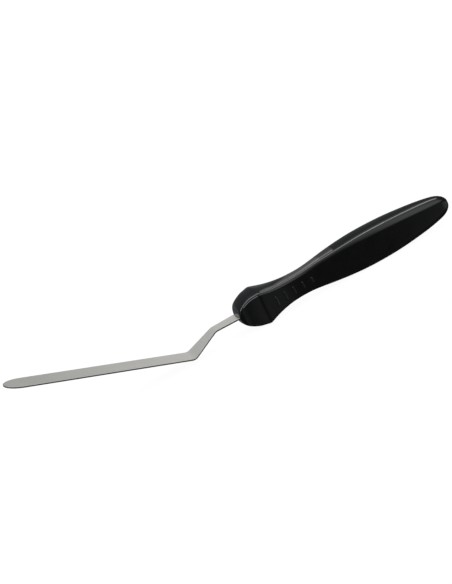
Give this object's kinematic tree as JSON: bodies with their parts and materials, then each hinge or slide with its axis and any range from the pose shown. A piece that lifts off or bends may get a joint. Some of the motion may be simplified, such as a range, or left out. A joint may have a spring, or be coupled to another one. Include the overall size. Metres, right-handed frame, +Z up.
{
  "type": "palette knife",
  "caption": "Offset palette knife: a thin round-tipped steel blade on a cranked shank, set in a waisted glossy moulded handle with finger ribs.",
  "frame": {"origin": "under the middle of the knife's box, on the table it lies on", "axes": "+X from the blade's round tip to the handle's butt, +Z up out of the face that looks up, and XZ is the plane of symmetry"},
  "size_m": [0.2308, 0.0204, 0.0339],
  "materials": {
    "stainless_steel": "satin",
    "black_plastic": "gloss"
  },
  "bodies": {
    "root": {"blade": "stainless_steel", "handle": "black_plastic"}
  },
  "joints": []
}
